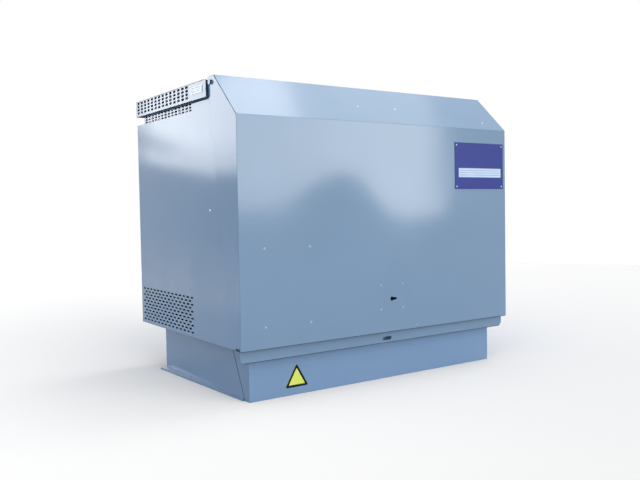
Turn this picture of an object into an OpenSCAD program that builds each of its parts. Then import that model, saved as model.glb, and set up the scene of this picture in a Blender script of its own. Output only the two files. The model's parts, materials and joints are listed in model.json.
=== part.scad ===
// Compact substation: a low sheet-steel enclosure on a recessed plinth.
// A top-hung front cover closes the equipment space; a perforated roof skirt
// and slotted end walls let the air through.
// Frame: X to the right, Y to the back, Z up, origin on the ground at the middle.

/* [Enclosure] */
// Width over the cover's cheeks
hood_w = 1366; // [1100:1:1900]
// Depth from the cover's face to the rear wall
hood_d = 951; // [780:1:1300]
// Height of the cover's top edge above the ground
total_h = 1197; // [980:1:1500]
// Height of the enclosure's underside above the ground
plinth_h = 200; // [150:1:300]
// Thickness of the hood's sheets
sheet_t = 2; // [1.5:0.5:3]

/* [Front cover] */
// Depth of the slope above the cover's face
slope_run = 163; // [120:1:220]
// Height of the slope above the cover's face
slope_rise = 159; // [120:1:220]
// Hinge axis behind the slope's upper edge
pivot_behind = 27; // [26:1:36]
// Hinge axis below the cover's top edge
pivot_drop = 23; // [20:1:26]
// Cheek's rear upper corner behind the hinge axis
corner_behind = 27; // [20:1:32]
// Radius of the cheek's rear upper corner
corner_r = 5; // [2:0.5:10]
// Length of the cheek's bottom edge
cheek_foot = 65; // [50:1:90]
// Clearance between a cheek and the end wall behind it
cheek_gap = 5; // [5:0.5:8]
// Depth of the cover's bottom return
cover_return = 15; // [10:1:16]
// Lock to the right of the middle
lock_offset = 10; // [-50:1:50]
// Profile cylinder's hole: diameter of its round end
cylinder_d = 17; // [15:0.5:19]
// Profile cylinder's hole: overall length
cylinder_l = 33; // [28:1:36]
// Profile cylinder's hole: width of its tail
cylinder_tail_w = 10; // [8:0.5:12]
// Height of the lock above the cover's bottom edge
lock_rise = 144; // [100:1:250]

/* [Hinge pins] */
// Diameter of the pins
pin_d = 12; // [10:1:14]
// Diameter of the pin heads
pin_head_d = 18; // [16:1:20]
// Thickness of the pin heads
pin_head_t = 7; // [4:0.5:8]
// Thickness of the nuts inside the end walls
pin_nut_t = 8; // [6:1:10]
// Running clearance around a pin, on the radius
pin_clear = 0.1; // [0.05:0.05:0.2]

/* [Roof] */
// Roof below the cover's top edge
roof_drop = 8; // [8:1:9]
// Clearance between a cheek and the roof skirt outside it
skirt_clear = 7; // [5:0.5:20]
// Height of the roof skirt
skirt_h = 66; // [50:1:90]
// Front end of the roof skirt behind the hinge axis
skirt_behind = 24; // [14:1:40]
// Rear end of the roof in front of the rear wall's face
roof_rear_gap = 33; // [20:1:60]
// End walls' upper edge below the roof, where the vent band is
vent_band_h = 99; // [90:1:120]
// Front end of the vent band behind the cover's face
band_start = 377; // [340:1:420]
// Rear vent screen in front of the rear wall's face
screen_rear_gap = 85; // [70:1:110]

/* [Slots] */
// Length of a slot in the vents and screens
slot_l = 23; // [18:1:28]
// Width of a slot in the vents and screens
slot_w = 7; // [5:0.5:8]
// Distance between slots along a row of the lower vents
slot_pitch = 38.5; // [34:0.5:44]
// Distance between rows of slots in the lower vents and the roof skirt
row_pitch = 13.9; // [12:0.1:16]
// Length of a slot in the roof skirt
skirt_slot_l = 24; // [18:1:28]
// Width of a slot in the roof skirt
skirt_slot_w = 9; // [5:0.5:10]
// Distance between slots along a row of the roof skirt
skirt_pitch = 39.1; // [34:0.1:44]
// Distance between slots along a row of the screens
screen_pitch = 35; // [32:0.5:44]
// Distance between rows of slots in the screens
screen_row_pitch = 12; // [10:0.5:14]
// Rows of slots in the lower vents
vent_rows = 11; // [5:2:15]
// Lowest row of the lower vents above the underside
vent_rise = 18; // [14:1:60]
// Last slot of the lower vents in front of the rear wall's face
vent_rear_gap = 36; // [30:1:80]
// Foremost slot of the lower vents behind the cover's face
vent_start = 400; // [340:1:500]

/* [Plinth] */
// Plinth sides inside the cheeks
plinth_side = 61; // [50:1:90]
// Plinth's front behind the cover's face
plinth_front = 58; // [50:1:90]
// Plinth's rear in front of the rear wall's face
plinth_rear_gap = 136; // [60:1:200]
// Thickness of the plinth's sheets
plinth_t = 3; // [2:0.5:5]
// Length of the apron's cheek at the ground
apron_foot = 34; // [25:1:60]
// Length of the apron's cheek at the top
apron_head = 127; // [80:1:160]
// Seam between the apron and the plinth's sides
apron_seam = 5; // [2:0.5:8]
// Width of the lap behind that seam, on each side of it
apron_lap = 12; // [8:1:16]
// Thickness of the foot flanges
foot_t = 8; // [5:1:12]
// Width of a foot flange at its rear end
foot_rear_w = 30; // [20:1:45]
// Width of a foot flange at its front end
foot_front_w = 8; // [5:1:20]

/* [Rail] */
// Rail behind the cover's face
rail_back = 23; // [22:1:40]
// Clearance between the rail's ends and the cheeks
rail_clear = 5; // [5:0.5:25]
// Rail's lower edge below the underside
rail_drop = 47; // [35:1:60]
// Radius of the rail's lower corners
rail_corner = 21; // [8:1:24]
// Middle of the padlock slot below the underside
padlock_drop = 28.5; // [24:0.5:30]
// Length of the padlock slot in the rail
padlock_l = 46; // [36:1:60]
// Width of the padlock slot in the rail
padlock_w = 14; // [10:1:16]

/* [Plates] */
// Width of the information plate on the cover
info_w = 300; // [200:1:400]
// Height of the information plate on the cover
info_h = 200; // [150:1:260]
// Side of the triangular plate on the apron, between its sharp corners
triangle_side = 103; // [80:1:120]
// Thickness of the plates
plate_t = 1.5; // [1:0.5:2]

/* [Hidden] */
$fn = 48;

paint = [0.46, 0.55, 0.66];
plinth_paint = [0.44, 0.53, 0.65];
zinc = [0.72, 0.74, 0.76];
dark_steel = [0.09, 0.1, 0.11];

half_w = hood_w / 2;
fold_z = total_h - slope_rise;
slope_l = norm([slope_run, slope_rise]);
// The inner face of a sheet meets the fold's mitre this far below the outer face.
fold_miter = sheet_t * tan((90 - atan2(slope_rise, slope_run)) / 2);
// The slope's upper end, on the inner face.
slope_end = [
    slope_run + sheet_t * slope_rise / slope_l,
    total_h - sheet_t * slope_run / slope_l
];
pivot = [slope_run + pivot_behind, total_h - pivot_drop];
corner_steps = 12;

// End walls stand inside the cheeks by one sheet and the clearance.
wall_x = half_w - sheet_t - cheek_gap;
wall_inner_x = wall_x - sheet_t;
wall_front = 30;
wall_slope_gap = 22;
roof_top = total_h - roof_drop;
roof_under = roof_top - sheet_t;
ledge_top = roof_under - vent_band_h + sheet_t;
screen_rear = hood_d - screen_rear_gap;
screen_lap = 12;
roof_rear = hood_d - roof_rear_gap;
roof_seam = 5;
roof_front = slope_run + roof_seam;
// The roof widens to the skirt behind the sweep of the cheeks' corners.
roof_wing_gap = 5;
roof_wing_front = pivot[0] + norm([corner_behind, pivot_drop]) + roof_wing_gap;
roof_flange_h = 22;
skirt_x = half_w + skirt_clear + sheet_t;
skirt_start = pivot[0] + skirt_behind;
skirt_bottom = roof_top - skirt_h;
skirt_slot_rows = 4;
skirt_slot_top = 9;
skirt_slot_rear = 28.5;
band_rows = 7;
band_slot_top = 22;

rail_top = plinth_h + plinth_t;
padlock_z = plinth_h - padlock_drop;
lock_size = [134, 25, 128];
lock_z = plinth_h + lock_rise;
cylinder_drop = 10;
notch_start = 9;
notch_end = 41;
notch_z = 3;
notch_h = 7;
info_side_gap = 15;
info_drop = 62;
rating_size = [98, 28];
rating_start = skirt_start + 28;
rating_drop = 16;
// The skirt's slots begin behind the rating plate.
skirt_slot_front = rating_start + rating_size[0] + skirt_slot_l;
triangle_left = 214;
triangle_rise = 30;
triangle_corner = 4;
plinth_x = half_w - plinth_side;
plinth_rear = hood_d - plinth_rear_gap;

// Number of slots that fit from the front limit to the rear one.
function slot_count(front, rear, pitch) = floor((rear - front) / pitch) + 1;

// Y is drawn as the distance behind the cover's face.
module from_front() { translate([0, -hood_d / 2, 0]) children(); }

// A side profile (distance back, height) as a plate from x0 to x1.
module side_plate(x0, x1) {
    from_front() translate([x0, 0, 0]) rotate([90, 0, 90]) linear_extrude(x1 - x0) children();
}

// A front profile (x, height) as a plate from y0 to y1 behind the cover's face.
module front_plate(y0, y1) {
    from_front() translate([0, y1, 0]) rotate([90, 0, 0]) linear_extrude(y1 - y0) children();
}

// A plan (x, distance back) as a plate from z0 to z1.
module level_plate(z0, z1) {
    from_front() translate([0, 0, z0]) linear_extrude(z1 - z0) children();
}

module slot(l, w) {
    square([l - w, w], center = true);
    for (e = [-1, 1]) translate([e * (l - w) / 2, 0]) circle(d = w);
}

// A grid of slots that runs from its rear upper slot forwards and down, with its pitch
// along the rows and between them.
module slot_grid(rear, top, columns, rows, pitch, stagger = false) {
    for (r = [0 : rows - 1])
        let (odd = stagger && r % 2 == 1)
        for (c = [0 : columns - (odd ? 2 : 1)])
            translate([rear - (c + (odd ? 0.5 : 0)) * pitch[0], top - r * pitch[1]]) children();
}

// A grid of slots centred between -x and x.
module slot_grid_centred(x, top, rows, pitch) {
    columns = slot_count(-x, x, pitch[0]);
    slot_grid((columns - 1) * pitch[0] / 2, top, columns, rows, pitch) children();
}

/* ---- front cover ---- */

// The hole for a profile cylinder that lies on its side, its tail to the right.
module cylinder_hole() {
    translate([lock_offset, lock_z - cylinder_drop]) {
        circle(d = cylinder_d);
        translate([0, -cylinder_tail_w / 2])
            square([cylinder_l - (cylinder_d + cylinder_tail_w) / 2, cylinder_tail_w]);
        translate([cylinder_l - (cylinder_d + cylinder_tail_w) / 2, 0]) circle(d = cylinder_tail_w);
    }
}

module cover_front() color(paint) {
    difference() {
        side_plate(-half_w, half_w)
            polygon([[0, plinth_h], [0, fold_z], [sheet_t, fold_z - fold_miter], [sheet_t, plinth_h]]);
        front_plate(-1, sheet_t + 1) cylinder_hole();
    }
    side_plate(-half_w + sheet_t, half_w - sheet_t)
        translate([sheet_t, plinth_h]) square([cover_return - sheet_t, sheet_t]);
}

module cover_slope() color(paint)
    side_plate(-half_w, half_w)
        polygon([[0, fold_z], [slope_run, total_h], slope_end, [sheet_t, fold_z - fold_miter]]);

// The cheek's rear edge runs straight from its foot to a small rounded corner.
module cheek_profile() {
    foot = [cheek_foot, plinth_h];
    corner = [pivot[0] + corner_behind, total_h];
    edge = corner - foot;
    // The rear edge faces this way, as an angle above the level.
    turn = atan2(-edge[0], edge[1]);
    centre = corner - corner_r * [cos(turn) / (1 + sin(turn)), 1];
    difference() {
        polygon(concat(
            [foot, [sheet_t, plinth_h], [sheet_t, fold_z - fold_miter], slope_end,
                [slope_end[0], total_h]],
            [for (i = [0 : corner_steps])
                let (a = 90 + (turn - 90) * i / corner_steps)
                centre + corner_r * [cos(a), sin(a)]]
        ));
        translate(pivot) circle(r = pin_d / 2 + pin_clear);
        translate([notch_start, plinth_h + notch_z]) square([notch_end - notch_start, notch_h]);
    }
}

module cover_right_cheek() color(paint) side_plate(half_w - sheet_t, half_w) cheek_profile();

module cover_left_cheek() mirror([1, 0, 0]) cover_right_cheek();

module lock_case() color(dark_steel)
    front_plate(sheet_t, sheet_t + lock_size[1])
        difference() {
            translate([lock_offset - lock_size[0] / 2, lock_z - lock_size[2] / 2])
                square([lock_size[0], lock_size[2]]);
            cylinder_hole();
        }

module info_plate() color([0.13, 0.33, 0.66])
    front_plate(-plate_t, 0)
        translate([half_w - info_side_gap - info_w, fold_z - info_drop - info_h])
            square([info_w, info_h]);

/* ---- fixed enclosure ---- */

module end_wall_profile() {
    rise = slope_rise / slope_run;
    difference() {
        polygon([
            [wall_front, plinth_h],
            [wall_front, fold_z + (wall_front - wall_slope_gap) * rise],
            [(roof_under - fold_z) / rise + wall_slope_gap, roof_under],
            [band_start, roof_under], [band_start, ledge_top],
            [hood_d, ledge_top], [hood_d, plinth_h]
        ]);
        translate(pivot) circle(r = pin_d / 2 + pin_clear);
        slot_grid(
            hood_d - vent_rear_gap,
            plinth_h + vent_rise + (vent_rows - 1) * row_pitch,
            slot_count(vent_start, hood_d - vent_rear_gap, slot_pitch), vent_rows,
            [slot_pitch, row_pitch], true
        ) slot(slot_l, slot_w);
    }
}

module right_end_wall() color(paint) side_plate(wall_inner_x, wall_x) end_wall_profile();

module left_end_wall() mirror([1, 0, 0]) right_end_wall();

module rear_wall() color(paint)
    front_plate(hood_d - sheet_t, hood_d)
        translate([-wall_inner_x, plinth_h]) square([2 * wall_inner_x, ledge_top - plinth_h]);

module floor_deck() color(zinc)
    level_plate(plinth_h, plinth_h + plinth_t)
        translate([-wall_inner_x, rail_back + plinth_t])
            square([2 * wall_inner_x, hood_d - sheet_t - rail_back - plinth_t]);

module rear_ledge() color(paint)
    level_plate(ledge_top - sheet_t, ledge_top)
        translate([-wall_inner_x, screen_rear])
            square([2 * wall_inner_x, hood_d - sheet_t - screen_rear]);

module right_vent_screen() color(paint)
    side_plate(wall_inner_x - sheet_t, wall_inner_x)
        difference() {
            translate([band_start - screen_lap, ledge_top - screen_lap])
                square([screen_rear - band_start + screen_lap, roof_under - ledge_top + screen_lap]);
            slot_grid(
                screen_rear - slot_l, roof_under - band_slot_top,
                slot_count(band_start + slot_w, screen_rear - slot_l, screen_pitch), band_rows,
                [screen_pitch, screen_row_pitch]
            ) slot(slot_l, slot_w);
        }

module left_vent_screen() mirror([1, 0, 0]) right_vent_screen();

module rear_vent_screen() color(paint)
    front_plate(screen_rear, screen_rear + sheet_t)
        difference() {
            translate([-wall_inner_x, ledge_top]) square([2 * wall_inner_x, roof_under - ledge_top]);
            slot_grid_centred(
                wall_inner_x - slot_l, roof_under - band_slot_top, band_rows - 1,
                [screen_pitch, screen_row_pitch]
            ) slot(slot_l, slot_w);
        }

module roof() color(paint) {
    level_plate(roof_under, roof_top) {
        translate([-wall_x, roof_front]) square([2 * wall_x, roof_wing_front - roof_front]);
        translate([-skirt_x, roof_wing_front]) square([2 * skirt_x, roof_rear - roof_wing_front]);
    }
    front_plate(roof_front, roof_front + sheet_t)
        translate([-wall_inner_x, roof_under - roof_flange_h])
            square([2 * wall_inner_x, roof_flange_h]);
}

module right_roof_skirt() color(paint)
    side_plate(skirt_x - sheet_t, skirt_x)
        difference() {
            translate([skirt_start, skirt_bottom])
                square([roof_rear - skirt_start, roof_under - skirt_bottom]);
            slot_grid(
                roof_rear - skirt_slot_rear, roof_top - skirt_slot_top,
                slot_count(skirt_slot_front, roof_rear - skirt_slot_rear, skirt_pitch),
                skirt_slot_rows, [skirt_pitch, row_pitch]
            ) slot(skirt_slot_l, skirt_slot_w);
        }

module left_roof_skirt() mirror([1, 0, 0]) right_roof_skirt();

module rear_roof_skirt() color(paint)
    front_plate(roof_rear - sheet_t, roof_rear)
        difference() {
            translate([-skirt_x + sheet_t, skirt_bottom])
                square([2 * (skirt_x - sheet_t), roof_under - skirt_bottom]);
            slot_grid_centred(
                skirt_x - skirt_slot_rear, roof_top - skirt_slot_top, skirt_slot_rows,
                [skirt_pitch, row_pitch]
            ) slot(skirt_slot_l, skirt_slot_w);
        }

module rating_plate() color([0.8, 0.84, 0.88])
    side_plate(-skirt_x - plate_t, -skirt_x)
        translate([rating_start, roof_top - rating_drop - rating_size[1]]) square(rating_size);

// A headed pin in the end wall, with a spacer outside the wall and a nut inside it.
module right_hinge_pin() color(zinc) {
    spacer_gap = 0.5;
    pin_end = 3;
    side_plate(wall_inner_x - pin_nut_t - pin_end, half_w + spacer_gap + pin_head_t)
        translate(pivot) circle(d = pin_d);
    side_plate(half_w + spacer_gap, half_w + spacer_gap + pin_head_t)
        translate(pivot) circle(d = pin_head_d);
    side_plate(wall_x, half_w - sheet_t - spacer_gap)
        translate(pivot) circle(d = pin_head_d);
    side_plate(wall_inner_x - pin_nut_t, wall_inner_x)
        translate(pivot) circle(d = pin_head_d, $fn = 6);
}

module left_hinge_pin() mirror([1, 0, 0]) right_hinge_pin();

// The rail's face: a strip with rounded lower corners and a slot in the middle.
module rail_profile() {
    x = half_w - sheet_t - rail_clear;
    bottom = plinth_h - rail_drop;
    difference() {
        union() {
            translate([-x, bottom + rail_corner]) square([2 * x, plinth_h - bottom - rail_corner]);
            translate([-x + rail_corner, bottom]) square([2 * (x - rail_corner), rail_corner]);
            for (side = [-1, 1])
                translate([side * (x - rail_corner), bottom + rail_corner]) circle(r = rail_corner);
            translate([-wall_inner_x, plinth_h - 1]) square([2 * wall_inner_x, rail_top - plinth_h + 1]);
        }
        translate([0, padlock_z]) slot(padlock_l, padlock_w);
    }
}

module front_rail() color(paint) front_plate(rail_back, rail_back + plinth_t) rail_profile();

/* ---- plinth ---- */

module apron_front() color(plinth_paint)
    front_plate(plinth_front, plinth_front + plinth_t)
        translate([-plinth_x, 0]) square([2 * plinth_x, plinth_h]);

module apron_right_cheek() color(plinth_paint)
    side_plate(plinth_x - plinth_t, plinth_x)
        polygon([
            [plinth_front + plinth_t, 0], [plinth_front + apron_foot, 0],
            [plinth_front + apron_head, plinth_h], [plinth_front + plinth_t, plinth_h]
        ]);

module apron_left_cheek() mirror([1, 0, 0]) apron_right_cheek();

// A strip along the slanted seam, from one side of it to the other.
module seam_strip(front, rear)
    polygon([
        [plinth_front + apron_foot + front, 0], [plinth_front + apron_head + front, plinth_h],
        [plinth_front + apron_head + rear, plinth_h], [plinth_front + apron_foot + rear, 0]
    ]);

module plinth_right_wall() color(plinth_paint) {
    side_plate(plinth_x - plinth_t, plinth_x)
        polygon([
            [plinth_front + apron_foot + apron_seam, 0],
            [plinth_front + apron_head + apron_seam, plinth_h],
            [plinth_rear, plinth_h], [plinth_rear, 0]
        ]);
    side_plate(plinth_x - 2 * plinth_t, plinth_x - plinth_t)
        seam_strip(-apron_lap, apron_seam + apron_lap);
}

module plinth_left_wall() mirror([1, 0, 0]) plinth_right_wall();

module plinth_rear_wall() color(plinth_paint)
    front_plate(plinth_rear - plinth_t, plinth_rear)
        translate([-plinth_x + plinth_t, 0]) square([2 * (plinth_x - plinth_t), plinth_h]);

module right_foot_flange() color(plinth_paint)
    level_plate(0, foot_t)
        polygon([
            [plinth_x, plinth_front + apron_foot + apron_seam],
            [plinth_x + foot_front_w, plinth_front + apron_foot + apron_seam],
            [plinth_x + foot_rear_w, plinth_rear], [plinth_x, plinth_rear]
        ]);

module left_foot_flange() mirror([1, 0, 0]) right_foot_flange();

// An upright triangle with rounded corners.
module triangle_plate() color([0.93, 0.78, 0.12]) {
    r = triangle_corner;
    height = triangle_side * sqrt(3) / 2;
    inset = r * sqrt(3);
    front_plate(plinth_front - plate_t, plinth_front)
        translate([-half_w + triangle_left, triangle_rise]) {
            polygon([
                [inset, 0], [triangle_side - inset, 0],
                [triangle_side - inset / 2, inset * sqrt(3) / 2],
                [triangle_side / 2 + inset / 2, height - inset * sqrt(3) / 2],
                [triangle_side / 2 - inset / 2, height - inset * sqrt(3) / 2],
                [inset / 2, inset * sqrt(3) / 2]
            ]);
            for (c = [[inset, r], [triangle_side - inset, r], [triangle_side / 2, height - 2 * r]])
                translate(c) circle(r = r);
        }
}

cover_front();
cover_slope();
cover_left_cheek();
cover_right_cheek();
lock_case();
info_plate();
left_end_wall();
right_end_wall();
rear_wall();
floor_deck();
rear_ledge();
left_vent_screen();
right_vent_screen();
rear_vent_screen();
roof();
left_roof_skirt();
right_roof_skirt();
rear_roof_skirt();
rating_plate();
left_hinge_pin();
right_hinge_pin();
front_rail();
apron_front();
apron_left_cheek();
apron_right_cheek();
plinth_left_wall();
plinth_right_wall();
plinth_rear_wall();
left_foot_flange();
right_foot_flange();
triangle_plate();
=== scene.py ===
"""Looks of the compact substation: paint, plates, screws, studio and camera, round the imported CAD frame."""

import json
import math

import bmesh
import bpy
from mathutils import Matrix, Vector


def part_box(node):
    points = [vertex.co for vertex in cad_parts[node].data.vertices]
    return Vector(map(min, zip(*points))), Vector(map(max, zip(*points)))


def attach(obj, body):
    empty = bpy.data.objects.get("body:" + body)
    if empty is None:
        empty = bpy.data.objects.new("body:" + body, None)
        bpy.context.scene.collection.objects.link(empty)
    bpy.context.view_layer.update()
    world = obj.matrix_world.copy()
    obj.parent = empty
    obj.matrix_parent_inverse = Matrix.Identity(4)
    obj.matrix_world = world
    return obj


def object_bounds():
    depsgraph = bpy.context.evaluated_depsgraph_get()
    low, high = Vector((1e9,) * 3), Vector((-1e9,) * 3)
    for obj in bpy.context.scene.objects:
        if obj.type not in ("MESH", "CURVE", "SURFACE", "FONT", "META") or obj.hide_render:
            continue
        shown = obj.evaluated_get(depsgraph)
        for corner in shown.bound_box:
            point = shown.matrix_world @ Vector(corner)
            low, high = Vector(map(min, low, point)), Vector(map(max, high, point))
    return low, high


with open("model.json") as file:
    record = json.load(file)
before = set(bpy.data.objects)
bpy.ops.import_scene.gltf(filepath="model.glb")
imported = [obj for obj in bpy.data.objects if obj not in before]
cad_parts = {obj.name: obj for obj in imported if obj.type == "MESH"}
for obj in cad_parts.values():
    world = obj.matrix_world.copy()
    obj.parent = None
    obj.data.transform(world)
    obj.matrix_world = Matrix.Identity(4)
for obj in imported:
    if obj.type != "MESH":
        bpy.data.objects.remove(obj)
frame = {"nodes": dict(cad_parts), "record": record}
cad_low, cad_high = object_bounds()

MM = 0.001
COVER = "front_cover"
ENCLOSURE = "enclosure"
FORWARD = Vector((0, -1, 0))
LEFTWARD = Vector((-1, 0, 0))
RIGHTWARD = Vector((1, 0, 0))

# Where things are: the cover's face with its left, lower and upper edges, the slope above it, and the left
# end wall's outer face.
face_low, face_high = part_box("cover_front")
FACE_Y = face_low.y
LEFT_X = face_low.x
COVER_LOW_Z = face_low.z
FOLD_Z = face_high.z
slope_low, slope_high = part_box("cover_slope")
# The slope's box is deeper than its outer face by the sheet's edge, so its run is taken to its top edge.
SLOPE_FOOT = Vector((LEFT_X, slope_low.y, FOLD_Z))
SLOPE_RUN = Vector((0, slope_high.y - slope_low.y, slope_high.z - FOLD_Z))
SLOPE_NORMAL = Vector((0, -SLOPE_RUN.z, SLOPE_RUN.y)).normalized()
WALL_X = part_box("left_end_wall")[0].x


def face_point(right, height):
    """A point on the cover's face, from its left edge and from the ground, in millimetres."""
    return Vector((LEFT_X + right * MM, FACE_Y, height * MM))


# ---------------------------------------------------------------- camera

# Fitted to the photograph: the camera's place in metres, where it looks, and its lens in millimetres.
CAMERA_PLACE = Vector((-1.913, -2.762, 0.706))
CAMERA_AZIMUTH = math.radians(34.55)
CAMERA_ELEVATION = math.radians(-2.5)
CAMERA_ROLL = math.radians(-1.0)
CAMERA_LENS = 41.6
CAMERA_CLIP = (0.05, 200)


def make_camera():
    az, el, roll = CAMERA_AZIMUTH, CAMERA_ELEVATION, CAMERA_ROLL
    forward = Vector((math.sin(az) * math.cos(el), math.cos(az) * math.cos(el), math.sin(el)))
    level = Vector((math.cos(az), -math.sin(az), 0))
    over = level.cross(forward)
    right = level * math.cos(roll) + over * math.sin(roll)
    up = right.cross(forward)
    data = bpy.data.cameras.new("camera")
    data.lens = CAMERA_LENS
    data.clip_start, data.clip_end = CAMERA_CLIP
    camera = bpy.data.objects.new("camera", data)
    turn = Matrix((right, up, -forward)).transposed().to_4x4()
    camera.matrix_world = Matrix.Translation(CAMERA_PLACE) @ turn
    bpy.context.scene.collection.objects.link(camera)
    bpy.context.scene.camera = camera


# ---------------------------------------------------------------- nodes and objects


class Nodes:
    """A short way to write a node tree. An input is a number, a colour, a vector or another node's output."""

    def __init__(self, tree):
        self.tree = tree
        self.tree.nodes.clear()

    def add(self, kind, inputs=None, **settings):
        node = self.tree.nodes.new(kind)
        for name, value in settings.items():
            setattr(node, name, value)
        for name, value in (inputs or {}).items():
            if isinstance(value, bpy.types.NodeSocket):
                self.tree.links.new(value, node.inputs[name])
            else:
                node.inputs[name].default_value = value
        return node

    def coords(self, kind):
        return self.add("ShaderNodeTexCoord").outputs[kind]

    def axis(self, vector, axis):
        return self.add("ShaderNodeSeparateXYZ", {0: vector}).outputs[axis]

    def math(self, operation, a, b=0.0, c=0.0):
        return self.add("ShaderNodeMath", {0: a, 1: b, 2: c}, operation=operation).outputs[0]

    def times(self, a, b):
        return self.math("MULTIPLY", a, b)

    def vector(self, operation, a, b=(0, 0, 0)):
        """Vector maths. A distance and a dot product are numbers, and the rest are vectors."""
        output = "Value" if operation in ("DISTANCE", "DOT_PRODUCT") else "Vector"
        return self.add("ShaderNodeVectorMath", {0: a, 1: b}, operation=operation).outputs[output]

    def ramp(self, value, low, high, to_low=0.0, to_high=1.0):
        """Goes smoothly from to_low to to_high while the value goes from low to high."""
        inputs = {"Value": value, "From Min": low, "From Max": high, "To Min": to_low, "To Max": to_high}
        return self.add("ShaderNodeMapRange", inputs, interpolation_type="SMOOTHSTEP").outputs[0]

    def noise(self, place, scale, detail=2.0, roughness=0.5, seed=0.0):
        inputs = {"Vector": place, "W": seed, "Scale": scale, "Detail": detail, "Roughness": roughness}
        return self.add("ShaderNodeTexNoise", inputs, noise_dimensions="4D").outputs["Fac"]

    def blend(self, factor, a, b):
        """A number between a and b."""
        return self.add("ShaderNodeMix", {0: factor, 2: a, 3: b}, data_type="FLOAT").outputs[0]

    def mix(self, factor, a, b):
        """A colour between a and b."""
        return self.add("ShaderNodeMix", {0: factor, 6: a, 7: b}, data_type="RGBA").outputs[2]

    def bump(self, height, strength, distance, normal=None):
        """A normal, or the face's own one, bent by a height."""
        inputs = {"Strength": strength, "Distance": distance, "Height": height}
        if normal is not None:
            inputs["Normal"] = normal
        return self.add("ShaderNodeBump", inputs).outputs[0]

    def surface(self, kind, inputs):
        """Ends a material in a surface."""
        surface = self.add(kind, inputs)
        self.add("ShaderNodeOutputMaterial", {"Surface": surface.outputs[0]})


def new_material(name):
    material = bpy.data.materials.new(name)
    material.use_nodes = True
    return material, Nodes(material.node_tree)


def new_object(name, bm, material):
    """Turns a bmesh into an object in the scene."""
    mesh = bpy.data.meshes.new(name)
    bm.to_mesh(mesh)
    bm.free()
    mesh.materials.append(material)
    made = bpy.data.objects.new(name, mesh)
    bpy.context.scene.collection.objects.link(made)
    return made


# ---------------------------------------------------------------- studio

# The studio, by direction. A ring of soft panels stands round the object just above the horizon. It has a
# bright stretch in front on the right, which the cover's face reflects, and one behind on the left, which the
# left end wall reflects. A softbox hangs overhead, and a brighter one on the right, which the slope reflects.
# Azimuths are from the front to the right, or from the rear to the left. Heights are angles above a horizon
# that tilts a little, up towards the left and the rear. Levels are brightnesses, and 1 shows as white.
RING_TILT = Vector((0.0235, -0.0235, 1)).normalized()
RING_LOW = math.radians(1.75)
RING_HIGH = math.radians(11)
RING_LEVEL = 1.2
PANEL_EDGE = math.radians(1.1)
# The front panel brightens to the right, between the azimuths of its rise.
FRONT_PANEL = (math.radians(-10), math.radians(43.8))
FRONT_PANEL_RISE = (math.radians(30), math.radians(38))
FRONT_PANEL_LEVELS = (6.9, 8.6)
# The rear panel brightens upwards. A dim patch crosses it between two heights, and ends towards the left.
REAR_PANEL = (math.radians(21.2), math.radians(50))
REAR_PANEL_RISE = (RING_LOW, RING_LOW + math.radians(3.0))
REAR_PANEL_LEVELS = (4.3, 6.1)
REAR_PATCH = (math.radians(2.8), math.radians(3.9))
REAR_PATCH_END = (math.radians(22.4), math.radians(24.6))
REAR_PATCH_SHARE = 0.7
# Between the ring and the overhead softbox it is dimmer behind on the left. The fade is of the direction's y
# less its x.
MIDDLE_FADE = (0.2, 0.9)
MIDDLE_LEVELS = (1.0, 0.55)
OVERHEAD_LOW = math.radians(57)
OVERHEAD_LEVEL = 0.9
# The right softbox is brighter in its upper part, above the overhead one's edge.
RIGHT_SOFTBOX = (math.radians(80), math.radians(114))
RIGHT_SOFTBOX_HEIGHTS = (math.radians(47), math.radians(80))
RIGHT_SOFTBOX_LEVELS = (2.3, 5.5)
LOWER_LEVEL = 0.3
WHITE_LEVEL = 1.0


def step(n, angle, at, low=0.0, high=1.0, width=PANEL_EDGE):
    """Goes softly from low to high where an angle passes a limit."""
    return n.ramp(angle, at - width / 2, at + width / 2, low, high)


def between(n, angle, low, high):
    """1 where an angle lies between two limits, with soft edges."""
    return n.times(step(n, angle, low), step(n, angle, high, 1.0, 0.0))


def studio_level(n):
    """The studio's brightness in the direction that a world's coordinates give."""
    direction = n.coords("Generated")
    x, y = n.axis(direction, "X"), n.axis(direction, "Y")
    height = n.math("ARCSINE", n.vector("DOT_PRODUCT", direction, RING_TILT))
    from_front = n.math("ARCTAN2", x, n.times(y, -1.0))
    from_rear = n.math("ARCTAN2", n.times(x, -1.0), y)

    front = n.ramp(from_front, *FRONT_PANEL_RISE, *FRONT_PANEL_LEVELS)
    ring = n.blend(between(n, from_front, *FRONT_PANEL), RING_LEVEL, front)

    patch_length = n.ramp(from_rear, *REAR_PATCH_END, REAR_PATCH_SHARE, 0.0)
    in_patch = n.times(between(n, height, *REAR_PATCH), patch_length)
    rear = n.blend(in_patch, n.ramp(height, *REAR_PANEL_RISE, *REAR_PANEL_LEVELS), RING_LEVEL)
    ring = n.blend(between(n, from_rear, *REAR_PANEL), ring, rear)

    middle = n.ramp(n.math("SUBTRACT", y, x), *MIDDLE_FADE, *MIDDLE_LEVELS)
    sky = n.blend(step(n, height, OVERHEAD_LOW, width=2 * PANEL_EDGE), middle, OVERHEAD_LEVEL)
    in_softbox = n.times(between(n, from_front, *RIGHT_SOFTBOX), between(n, height, *RIGHT_SOFTBOX_HEIGHTS))
    sky = n.blend(in_softbox, sky, step(n, height, OVERHEAD_LOW, *RIGHT_SOFTBOX_LEVELS))

    upper = n.blend(step(n, height, RING_HIGH + PANEL_EDGE / 2), ring, sky)
    return n.blend(step(n, height, RING_LOW), LOWER_LEVEL, upper)


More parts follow.
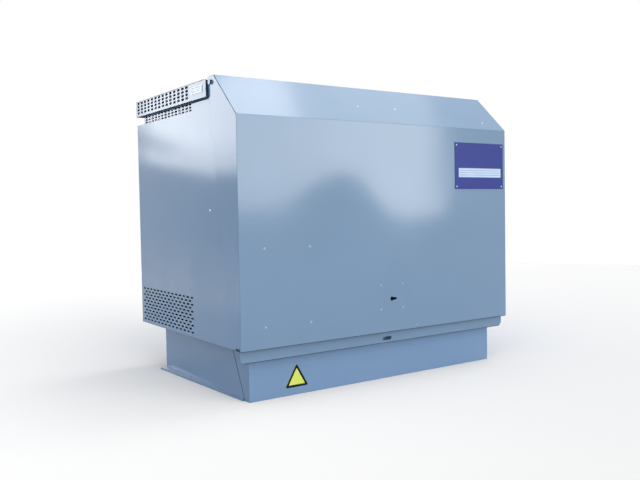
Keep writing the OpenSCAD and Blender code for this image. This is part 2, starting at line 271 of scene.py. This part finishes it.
def make_world():
    """The studio lights the object and shows in its gloss. The background behind it is white, and gloss and
    glass show that white too, with the brighter panels over it."""
    world = bpy.data.worlds.new("studio")
    bpy.context.scene.world = world
    world.use_nodes = True
    n = Nodes(world.node_tree)
    path = n.add("ShaderNodeLightPath").outputs
    shown = n.math("MAXIMUM", studio_level(n), n.times(path["Is Glossy Ray"], WHITE_LEVEL))
    plain = n.math("MAXIMUM", path["Is Camera Ray"], path["Is Transmission Ray"])
    level = n.blend(plain, shown, WHITE_LEVEL)
    light = n.add("ShaderNodeBackground", {"Color": (1, 1, 1, 1), "Strength": level})
    n.add("ShaderNodeOutputWorld", {"Surface": light.outputs[0]})


FLOOR_RADIUS = 6.0
FLOOR_SIDES = 128
# The floor shows pale, and sends less light back at the object, as a studio's dark carpet round it would.
FLOOR_SHOWN = (0.93, 0.93, 0.93, 1)
FLOOR_BOUNCE = (0.3, 0.3, 0.3, 1)


def make_floor():
    bm = bmesh.new()
    bmesh.ops.create_circle(bm, cap_ends=True, segments=FLOOR_SIDES, radius=FLOOR_RADIUS)
    material, n = new_material("floor")
    path = n.add("ShaderNodeLightPath").outputs
    seen = n.math("MAXIMUM", path["Is Camera Ray"], path["Is Glossy Ray"])
    seen = n.math("MAXIMUM", seen, path["Is Transmission Ray"])
    colour = n.mix(seen, FLOOR_BOUNCE, FLOOR_SHOWN)
    n.surface("ShaderNodeBsdfDiffuse", {"Color": colour, "Roughness": 1.0})
    floor = new_object("floor", bm, material)
    floor.location.z = cad_low.z


# ---------------------------------------------------------------- materials

HOUSING_CENTRE = (cad_low + cad_high) / 2

PAINT_IOR = 1.42
ENAMEL_IOR = 1.5
# Painted shade: faces inside the housing take this near black, as the shade in there.
INSIDE_SHADE = (0.042, 0.048, 0.064, 1)
# Dark joints and painted shade share this colour.
JOINT_AND_SHADE_COLOUR = (0.012, 0.028, 0.062, 1)
# Faint dust near the ground: its density there, and the height to which it reaches.
DUST = (0.30, 0.31, 0.32, 1)
DUST_DENSITY = 0.16
DUST_HEIGHT = 0.12
# A painted sheen on the housing's sides, a pale film standing for the reflection of bright ground: its
# density where thin and thick, and the heights between which it comes in at its foot and fades at its top.
SHEEN_TINT = (0.50, 0.56, 0.70, 1)
SHEEN_DENSITY = (0.0945, 0.21)
SHEEN_FOOT = (0.29, 0.39)
SHEEN_TOP = (0.45, 0.64)
# Painted shade lies where less than the second share of the space within this distance is open, and fully
# below the first: an occlusion test darkens gaps and corners. It roughens the paint.
GAP_DISTANCE = 14 * MM
GAP_SHARES = (0.2, 0.62)
GAP_ROUGHNESS = 0.75
# The dark joint under the slope's sheet, measured out from the slope's outer face, and how far sideways the
# faces look that show it. Then a dark line painted along a sheet's lower edge as the shadow under that edge,
# measured up from that edge.
SEAM_FADE = (-2.75 * MM, -2.25 * MM)
SEAM_SIDEWAYS = 0.9
EDGE_SHADOW_FADE = (2.24 * MM, 3.36 * MM)
EDGE_SHADOW_DARKNESS = 0.8
# The roof's skirt hides what lies behind and above this corner of the end walls, and the shade there is
# painted on, darkening the paint.
skirt_low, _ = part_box("left_roof_skirt")
SKIRT_SHADE_Y = skirt_low.y + 30 * MM
SKIRT_SHADE_Z = skirt_low.z + 9 * MM
SKIRT_SHADE_DARKNESS = 0.92
# Edges catch light over this radius.
EDGE_RADIUS = 1.5 * MM
SOFT_SAMPLES = 6


def darker(colour, share):
    return tuple(c * share for c in colour[:3]) + (1,)


def crevice(n, strength):
    """Painted shade: up to strength in a gap or a corner, where little of the space round it is open, 0 on
    open sheet.
    """
    occlusion = n.add("ShaderNodeAmbientOcclusion", {"Distance": GAP_DISTANCE}, samples=SOFT_SAMPLES)
    return n.ramp(occlusion.outputs["AO"], *GAP_SHARES, strength, 0.0)


def sideways(n):
    """1 on faces that look to the left or right, 0 on those that look to the front, rear, up or down."""
    return n.math("ABSOLUTE", n.axis(n.coords("Normal"), "X"))


def inner_side(n, place):
    """1 on faces turned towards the inside of the housing."""
    from_centre = n.vector("SUBTRACT", place, HOUSING_CENTRE)
    return n.math("LESS_THAN", n.vector("DOT_PRODUCT", n.coords("Normal"), from_centre), 0.0)


def slope_seam(n, place):
    """1 along the cheeks' upper edges, where the slope's sheet ends over them in a dark joint."""
    depth = n.vector("DOT_PRODUCT", n.vector("SUBTRACT", place, SLOPE_FOOT), SLOPE_NORMAL)
    return n.times(n.ramp(depth, *SEAM_FADE), n.math("GREATER_THAN", sideways(n), SEAM_SIDEWAYS))


def dark_share(n, place, crevice_shade, seam, edge_shadow_z, skirt_shade):
    """How much of the paint is darkened, by the dark joint under the slope and by painted shade in gaps,
    along a lower edge and behind the roof's skirt.
    """
    height = n.axis(place, "Z")
    dark = crevice(n, crevice_shade)
    if seam:
        dark = n.math("MAXIMUM", dark, slope_seam(n, place))
    if edge_shadow_z is not None:
        # A painted shadow line along the sheet's lower edge.
        low, high = EDGE_SHADOW_FADE
        dark = n.math("MAXIMUM", dark, n.ramp(height, edge_shadow_z + low, edge_shadow_z + high, EDGE_SHADOW_DARKNESS, 0.0))
    # Painted shade behind and above the corner under the roof's skirt.
    if skirt_shade:
        behind = n.math("GREATER_THAN", n.axis(place, "Y"), SKIRT_SHADE_Y)
        above = n.math("GREATER_THAN", height, SKIRT_SHADE_Z)
        dark = n.math("MAXIMUM", dark, n.times(n.times(behind, above), SKIRT_SHADE_DARKNESS))
    return dark


def lean(n, place, dents=(), cheeks=0.0, twist=0.0):
    """How far a sheet leans back, as a slope, so that it reflects higher or lower. dents are (centre, radius,
    slope at the centre). cheeks is a slope for all faces that look sideways, and twist one per metre to the
    back, for the same faces."""
    total = n.times(sideways(n), n.math("MULTIPLY_ADD", n.axis(place, "Y"), twist, cheeks))
    for centre, radius, amount in dents:
        away = n.vector("DISTANCE", place, centre)
        total = n.math("ADD", total, n.ramp(away, 0.0, radius, amount, 0.0))
    return total


def sheet_normal(n, place, sheet, leaning):
    """The normal of a painted sheet: soft edges, a lean, slow waves and orange peel."""
    edges = n.add("ShaderNodeBevel", {"Radius": EDGE_RADIUS}, samples=SOFT_SAMPLES).outputs[0]
    upward = n.add("ShaderNodeCombineXYZ", {"Z": lean(n, place, **leaning)}).outputs[0]
    leant = n.vector("NORMALIZE", n.vector("ADD", edges, upward))
    waves = n.noise(place, scale=2.4, detail=1.0, roughness=0.3, seed=sheet)
    waved = n.bump(waves, strength=1.0, distance=2 * MM, normal=leant)
    return n.bump(n.noise(place, scale=420.0), strength=0.1, distance=0.1 * MM, normal=waved)


def paint(
    name, colour, sheet, gloss=0.5, rough=(0.09, 0.11), crevice_shade=0.9, shade_inside=True,
    seam=False, edge_shadow_z=None, skirt_shade=False, low_sheen=False, **leaning,
):
    """Powder-coated sheet. Slow waves and dents in the sheet bend its reflections, and orange peel softens
    them. Painted shade darkens the gaps and corners, faint dust lies near the ground, and a painted sheen can
    lighten a band low on the sides, standing for the reflection of bright ground. The faces inside the
    housing can be painted near black, as painted shade. sheet picks the waves, so that neighbouring sheets
    differ. seam darkens the joint under the slope's sheet. The shade behind the roof's skirt can be painted
    on, and a painted shadow line along a sheet's lower edge, at that edge's height. leaning is what lean
    takes."""
    material, n = new_material(name)
    place = n.coords("Object")
    height = n.axis(place, "Z")

    patches = n.ramp(n.noise(place, scale=3.1, seed=sheet), 0.35, 0.65)
    tint = n.mix(patches, colour, darker(colour, 0.97))
    specks = n.ramp(n.noise(place, scale=60.0, detail=4.0, roughness=0.6), 0.45, 0.75)
    dust = n.times(n.ramp(height, 0.0, DUST_HEIGHT, DUST_DENSITY, 0.0), specks)
    tint = n.mix(dust, tint, DUST)
    # A painted sheen: a pale film low on the sides stands for the reflection of bright ground.
    if low_sheen:
        sheen_band = n.times(n.ramp(height, *SHEEN_TOP, 1.0, 0.0), n.ramp(height, *SHEEN_FOOT))
        density = n.ramp(n.noise(place, scale=4.0, detail=3.0, seed=sheet), 0.35, 0.65, *SHEEN_DENSITY)
        tint = n.mix(n.times(sheen_band, density), tint, SHEEN_TINT)
    # Dark joints, and painted shade in gaps, along a lower edge and behind the roof's skirt.
    dark = dark_share(n, place, crevice_shade, seam, edge_shadow_z, skirt_shade)
    tint = n.mix(dark, tint, JOINT_AND_SHADE_COLOUR)
    # Painted shade: faces turned to the inside of the housing go near black.
    if shade_inside:
        tint = n.mix(inner_side(n, place), tint, INSIDE_SHADE)

    open_rough = n.ramp(n.noise(place, scale=9.0, detail=3.0, seed=sheet), 0.3, 0.7, *rough)
    n.surface("ShaderNodeBsdfPrincipled", {
        "Base Color": tint,
        "Roughness": n.blend(dark, open_rough, GAP_ROUGHNESS),
        "IOR": PAINT_IOR,
        "Specular IOR Level": gloss,
        "Normal": sheet_normal(n, place, sheet, leaning),
    })
    return material


def plated(name, colour, roughness, metal=1.0):
    """Zinc-plated steel: small crystals in tone and roughness."""
    material, n = new_material(name)
    place = n.coords("Object")
    cells = n.add("ShaderNodeTexVoronoi", {"Vector": place, "Scale": 90.0}, feature="F1").outputs["Color"]
    grain = n.add("ShaderNodeSeparateColor", {0: cells}).outputs[0]
    n.surface("ShaderNodeBsdfPrincipled", {
        "Base Color": n.mix(grain, darker(colour, 0.85), colour),
        "Metallic": metal,
        "Roughness": n.ramp(grain, 0.0, 1.0, roughness - 0.06, roughness + 0.08),
        "Normal": n.bump(n.noise(place, scale=300.0, detail=3.0), strength=0.2, distance=0.1 * MM),
    })
    return material


def enamel(name, colour, roughness=0.3, gloss=0.3):
    """Enamel or gloss print on a plate, slightly uneven."""
    material, n = new_material(name)
    place = n.coords("Object")
    patches = n.ramp(n.noise(place, scale=18.0, detail=3.0), 0.3, 0.7)
    wear = n.noise(place, scale=60.0, detail=3.0)
    n.surface("ShaderNodeBsdfPrincipled", {
        "Base Color": n.mix(patches, colour, darker(colour, 0.94)),
        "Roughness": n.ramp(wear, 0.3, 0.7, roughness, roughness + 0.08),
        "IOR": ENAMEL_IOR,
        "Specular IOR Level": gloss,
        "Normal": n.bump(n.noise(place, scale=30.0), strength=0.3, distance=0.3 * MM),
    })
    return material


def painted_pin(name, face, side):
    """A pin whose round faces are painted with the hood and whose turned sides are bare and dark."""
    material, n = new_material(name)
    on_face = n.ramp(sideways(n), 0.6, 0.8)
    n.surface("ShaderNodeBsdfPrincipled", {
        "Base Color": n.mix(on_face, side, face),
        "Roughness": n.ramp(on_face, 0.0, 1.0, 0.45, 0.2),
        "IOR": ENAMEL_IOR,
        "Normal": n.bump(n.noise(n.coords("Object"), scale=260.0), strength=0.3, distance=0.1 * MM),
    })
    return material


HOOD_COLOUR = (0.209, 0.333, 0.498, 1)
# Painted light: the same paint as the front, tinted a little bluer for the bluish light that falls on the
# housing's sides.
SIDE_LIT_COLOUR = (0.180, 0.331, 0.562, 1)
PLINTH_COLOUR = (0.230, 0.370, 0.590, 1)
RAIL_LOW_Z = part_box("front_rail")[0].z
# Two wide, shallow dents shape the reflection on the cover's face. Each is a centre, a radius and a slope.
COVER_DENTS = [
    (face_point(450, 790), 0.34, -0.030),
    (face_point(760, 640), 0.36, 0.011),
]

# Painted light in these paints: shade in gaps, inside the housing and behind the skirt, a shadow line along
# the cover's and the rail's lower edges, and on the cheeks and walls a bluer tint and a pale sheen low down.
COVER_PAINT = paint("cover_paint", HOOD_COLOUR, sheet=1.3, seam=True, edge_shadow_z=COVER_LOW_Z, dents=COVER_DENTS)
CHEEK = paint("cheek_paint", SIDE_LIT_COLOUR, sheet=1.3, seam=True, edge_shadow_z=COVER_LOW_Z, low_sheen=True, cheeks=0.0142)
WALL = paint("wall_paint", SIDE_LIT_COLOUR, sheet=4.7, skirt_shade=True, low_sheen=True, cheeks=0.0105, twist=-0.031)
HOOD = paint("hood_paint", HOOD_COLOUR, sheet=6.3, cheeks=-0.008)
SKIRT = paint("skirt_paint", HOOD_COLOUR, sheet=7.2, shade_inside=False, cheeks=-0.008)
# Weather has dulled the roof's flat top.
ROOF = paint("roof_paint", HOOD_COLOUR, sheet=3.6, gloss=0.2, rough=(0.42, 0.55))
RAIL = paint("rail_paint", HOOD_COLOUR, sheet=2.9, shade_inside=False, edge_shadow_z=RAIL_LOW_Z)
PLINTH = paint("plinth_paint", PLINTH_COLOUR, sheet=8.1, gloss=0.3, crevice_shade=0.35)
FLANGE = paint("flange_paint", PLINTH_COLOUR, sheet=9.4, gloss=0.3, crevice_shade=0.35, shade_inside=False)
ZINC = plated("zinc_plate", (0.62, 0.64, 0.66, 1), roughness=0.38)
# The deck's galvanised tone is kept dark, partly as painted shade for the inside of the housing.
SHADED_GALVANISED = plated("galvanised_deck", (0.36, 0.38, 0.40, 1), roughness=0.5, metal=0.5)
BRIGHT = plated("bright_screw", (0.80, 0.83, 0.86, 1), roughness=0.25)
DULL = plated("dull_screw", (0.36, 0.50, 0.68, 1), roughness=0.42, metal=0.5)
PIN = painted_pin("painted_pin", HOOD_COLOUR, (0.07, 0.09, 0.13, 1))
DARK = enamel("dark_steel", (0.012, 0.014, 0.02, 1), roughness=0.5)
BLUE = enamel("blue_enamel", (0.016, 0.036, 0.29, 1), gloss=0.25)
YELLOW = enamel("yellow_enamel", (0.84, 0.95, 0.165, 1))
BLACK = enamel("black_print", (0.006, 0.009, 0.016, 1), roughness=0.5, gloss=0.12)
WHITE = enamel("white_enamel", (0.61, 0.79, 1.0, 1))
SATIN = enamel("satin_plate", (0.53, 0.70, 0.88, 1), roughness=0.14, gloss=0.5)

SLOT_MATERIALS = {
    "hood_paint": HOOD, "plinth_paint": PLINTH, "zinc": ZINC, "dark_steel": DARK,
    "blue_plate": BLUE, "yellow_plate": YELLOW, "pale_plate": SATIN,
}
# Nodes whose finish is a variant of their slot's.
NODE_MATERIALS = {
    "cover_front": COVER_PAINT, "cover_slope": COVER_PAINT,
    "cover_left_cheek": CHEEK, "cover_right_cheek": CHEEK,
    "floor_deck": SHADED_GALVANISED, "front_rail": RAIL, "left_hinge_pin": PIN, "right_hinge_pin": PIN,
    "left_end_wall": WALL, "right_end_wall": WALL, "rear_wall": WALL,
    "left_vent_screen": WALL, "right_vent_screen": WALL, "rear_vent_screen": WALL,
    "left_roof_skirt": SKIRT, "right_roof_skirt": SKIRT, "rear_roof_skirt": SKIRT, "roof": ROOF,
    "left_foot_flange": FLANGE, "right_foot_flange": FLANGE,
}


def finish_cad_nodes():
    """Gives each CAD node its material."""
    for subpart in frame["record"]["subparts"]:
        name, slot = subpart["node"], subpart["material_slot"]
        node = frame["nodes"][name]
        node.data.materials.clear()
        node.data.materials.append(NODE_MATERIALS.get(name, SLOT_MATERIALS[slot]))


# ---------------------------------------------------------------- shapes of the small pieces

SCREW_SIDES = 24
DOME_STEPS = 5
DOME_RIM = 0.3 * MM
CORNER_STEPS = 6
SMOOTH_ANGLE = math.radians(35)


def keep(name, bm, material, body, smooth=False):
    """Turns a bmesh into a piece that rides on a body."""
    bmesh.ops.recalc_face_normals(bm, faces=bm.faces)
    piece = new_object(name, bm, material)
    if smooth:
        piece.data.shade_smooth()
        piece.data.set_sharp_from_angle(angle=SMOOTH_ANGLE)
    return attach(piece, body)


def turned(bm, profile, place, axis):
    """Lathes a (radius, height) profile round an axis at place, from an open rim to a tip on the axis."""
    put = Matrix.Translation(place) @ axis.to_track_quat("Z", "X").to_matrix().to_4x4()
    rings = []
    for radius, height in profile:
        if radius == 0:
            rings.append([bm.verts.new(put @ Vector((0, 0, height)))])
            continue
        ring = []
        for i in range(SCREW_SIDES):
            a = 2 * math.pi * i / SCREW_SIDES
            ring.append(bm.verts.new(put @ Vector((radius * math.cos(a), radius * math.sin(a), height))))
        rings.append(ring)
    for a, b in zip(rings, rings[1:]):
        for i in range(SCREW_SIDES):
            j = (i + 1) % SCREW_SIDES
            corners = [a[i % len(a)], a[j % len(a)], b[j % len(b)], b[i % len(b)]]
            bm.faces.new(list(dict.fromkeys(corners)))


def dome_head(radius, height):
    """Profile of a domed head with a small rim that sits on the sheet, open underneath."""
    points = [(radius, 0), (radius, DOME_RIM)]
    for i in range(1, DOME_STEPS):
        a = math.pi / 2 * i / DOME_STEPS
        points.append((radius * math.cos(a), DOME_RIM + (height - DOME_RIM) * math.sin(a)))
    return points + [(0, height)]


def dome_screws(name, places, axis, head, material, body):
    """One piece of domed screws or rivets. head is their (radius, height)."""
    bm = bmesh.new()
    for place in places:
        turned(bm, dome_head(*head), place, axis)
    keep(name, bm, material, body, smooth=True)


def upright(origin, along, out):
    """A function that places (u, v, h) on an upright surface: u along and v up from origin, h above it."""
    def place_of(u, v, h):
        return origin + along * u + Vector((0, 0, v)) + out * h
    return place_of


def slab(bm, outline, thickness, place_of):
    """A thin plate from a closed (u, v) outline."""
    under = [bm.verts.new(place_of(u, v, 0)) for u, v in outline]
    over = [bm.verts.new(place_of(u, v, thickness)) for u, v in outline]
    bm.faces.new(over)
    bm.faces.new(list(reversed(under)))
    count = len(outline)
    for i in range(count):
        j = (i + 1) % count
        bm.faces.new((under[i], under[j], over[j], over[i]))


def band(bm, outer, inner, thickness, place_of):
    """A flat frame between two closed outlines with as many points each."""
    levels = []
    for outline in (outer, inner):
        for h in (0, thickness):
            levels.append([bm.verts.new(place_of(u, v, h)) for u, v in outline])
    outer_low, outer_high, inner_low, inner_high = levels
    count = len(outer)
    for i in range(count):
        j = (i + 1) % count
        bm.faces.new((outer_high[i], outer_high[j], inner_high[j], inner_high[i]))
        bm.faces.new((outer_low[i], outer_low[j], outer_high[j], outer_high[i]))
        bm.faces.new((inner_high[i], inner_high[j], inner_low[j], inner_low[i]))
        bm.faces.new((outer_low[j], outer_low[i], inner_low[i], inner_low[j]))


def rectangle(left, right, low, high):
    """A rectangle's outline, anticlockwise."""
    return [(left, low), (right, low), (right, high), (left, high)]


def rules(bm, left, right, heights, width, thickness, place_of):
    """Blank ruled lines across a plate."""
    for v in heights:
        slab(bm, rectangle(left, right, v - width / 2, v + width / 2), thickness, place_of)


def rounded_triangle(width, height, inset, radius):
    """An upright triangle's outline, its corners rounded, anticlockwise from the lower right corner."""
    side = math.hypot(width / 2, height)
    inradius = width * height / (width + 2 * side)
    scale = (inradius - inset - radius) / inradius
    middle = width / 2
    base = math.degrees(math.atan2(height, middle))
    corners = (
        ((width, 0), -90, 90 - base),
        ((middle, height), 90 - base, 90 + base),
        ((0, 0), 90 + base, 270),
    )
    points = []
    for (x, y), start, stop in corners:
        cx, cy = middle + (x - middle) * scale, inradius + (y - inradius) * scale
        for i in range(CORNER_STEPS + 1):
            a = math.radians(start + (stop - start) * i / CORNER_STEPS)
            points.append((cx + radius * math.cos(a), cy + radius * math.sin(a)))
    return points


# ---------------------------------------------------------------- small pieces

# The blue plate's pale field, by its gaps to the plate's left and right edges and its lowest and highest line
# above the plate's lower edge, the blank rules across it, and the screws in the plate's corners.
FIELD_GAPS = (23 * MM, 16 * MM)
FIELD_HEIGHTS = (51 * MM, 90 * MM)
FIELD_THICKNESS = 0.25 * MM
INFO_RULE_HEIGHTS = (60.5 * MM, 70.5 * MM, 80.5 * MM)
INFO_RULE_GAP = 6 * MM
INFO_RULE_WIDTH = 1 * MM
INFO_RULE_THICKNESS = 0.35 * MM
INFO_SCREW_INSET = 11 * MM
INFO_HEAD = (3.5 * MM, 2 * MM)


def make_info_plate():
    low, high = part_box("info_plate")
    place_of = upright(low, RIGHTWARD, FORWARD)
    width, height = high.x - low.x, high.z - low.z
    left, right = FIELD_GAPS[0], width - FIELD_GAPS[1]
    field = bmesh.new()
    slab(field, rectangle(left, right, *FIELD_HEIGHTS), FIELD_THICKNESS, place_of)
    keep("info_field", field, WHITE, COVER)

    lines = bmesh.new()
    rules(lines, left + INFO_RULE_GAP, right - INFO_RULE_GAP, INFO_RULE_HEIGHTS, INFO_RULE_WIDTH,
          INFO_RULE_THICKNESS, place_of)
    keep("info_rules", lines, BLUE, COVER)

    inset = INFO_SCREW_INSET
    places = [place_of(u, v, 0) for u in (inset, width - inset) for v in (inset, height - inset)]
    dome_screws("info_screws", places, FORWARD, INFO_HEAD, ZINC, COVER)


# The triangular plate's black border, from just inside its edge, with the corners' radii outside and inside.
TRIANGLE_CORNER = 4 * MM
BORDER_INSETS = (0.1 * MM, 8.5 * MM)
BORDER_INNER_CORNER = 1.5 * MM
BORDER_THICKNESS = 0.25 * MM


def make_triangle_border():
    low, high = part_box("triangle_plate")
    # The plate's box is smaller than its sharp triangle, by what the round corners take off.
    height = high.z - low.z + TRIANGLE_CORNER
    width = 2 * height / math.sqrt(3)
    left = (low.x + high.x - width) / 2
    bm = bmesh.new()
    outer = rounded_triangle(width, height, BORDER_INSETS[0], TRIANGLE_CORNER)
    inner = rounded_triangle(width, height, BORDER_INSETS[1], BORDER_INNER_CORNER)
    band(bm, outer, inner, BORDER_THICKNESS, upright(Vector((left, low.y, low.z)), RIGHTWARD, FORWARD))
    keep("triangle_border", bm, BLACK, ENCLOSURE)


# The blank rules and the rivets on the pale plate on the left skirt.
RATING_RULE_HEIGHTS = (8 * MM, 15 * MM, 22 * MM)
RATING_RULE_GAP = 12 * MM
RATING_RULE_WIDTH = 0.8 * MM
RATING_RULE_THICKNESS = 0.15 * MM
RIVET_INSET = 5.5 * MM
RIVET_HEAD = (2.5 * MM, 1.4 * MM)


def make_rating_details():
    low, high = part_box("rating_plate")
    place_of = upright(Vector((low.x, high.y, low.z)), FORWARD, LEFTWARD)
    length, height = high.y - low.y, high.z - low.z
    lines = bmesh.new()
    rules(lines, RATING_RULE_GAP, length - RATING_RULE_GAP, RATING_RULE_HEIGHTS, RATING_RULE_WIDTH,
          RATING_RULE_THICKNESS, place_of)
    keep("rating_rules", lines, BLACK, ENCLOSURE)
    places = [place_of(u, height / 2, 0) for u in (RIVET_INSET, length - RIVET_INSET)]
    dome_screws("rating_rivets", places, LEFTWARD, RIVET_HEAD, ZINC, ENCLOSURE)


# Screws on the cover's face: places in millimetres, as face_point takes them, and heads.
FACE_SCREWS = (
    ("cover_screws", [(x, z) for x in (102, 298) for z in (279, 563)], (5 * MM, 2.6 * MM)),
    ("lock_screws", [(x, z) for x in (636, 750) for z in (295, 392)], (4 * MM, 2 * MM)),
    ("stop_screw", [(825, 215)], (3 * MM, 1.6 * MM)),
)
# Screws on the slope: millimetres from its left edge, and the share of its run from its foot.
SLOPE_SCREWS = ((586, 0.43), (780, 0.43), (1257, 0.2))
SLOPE_HEAD = (4.5 * MM, 2.2 * MM)
# Screws on the end walls: their distance behind the cover's face, and their heights.
WALL_SCREW_BACK = 233 * MM
WALL_SCREW_HEIGHTS = (986 * MM, 703 * MM)
WALL_HEAD = (4 * MM, 1.6 * MM)


def make_screws():
    for name, spots, head in FACE_SCREWS:
        dome_screws(name, [face_point(*spot) for spot in spots], FORWARD, head, DULL, COVER)
    places = [SLOPE_FOOT + RIGHTWARD * (x * MM) + SLOPE_RUN * share for x, share in SLOPE_SCREWS]
    dome_screws("slope_screws", places, SLOPE_NORMAL, SLOPE_HEAD, BRIGHT, COVER)
    for name, out in (("left", LEFTWARD), ("right", RIGHTWARD)):
        places = [out * abs(WALL_X) + Vector((0, FACE_Y + WALL_SCREW_BACK, z)) for z in WALL_SCREW_HEIGHTS]
        dome_screws(f"{name}_wall_screws", places, out, WALL_HEAD, BRIGHT, ENCLOSURE)


make_camera()
make_world()
make_floor()
finish_cad_nodes()
make_info_plate()
make_triangle_border()
make_rating_details()
make_screws()

bpy.context.scene.view_settings.view_transform = "Standard"
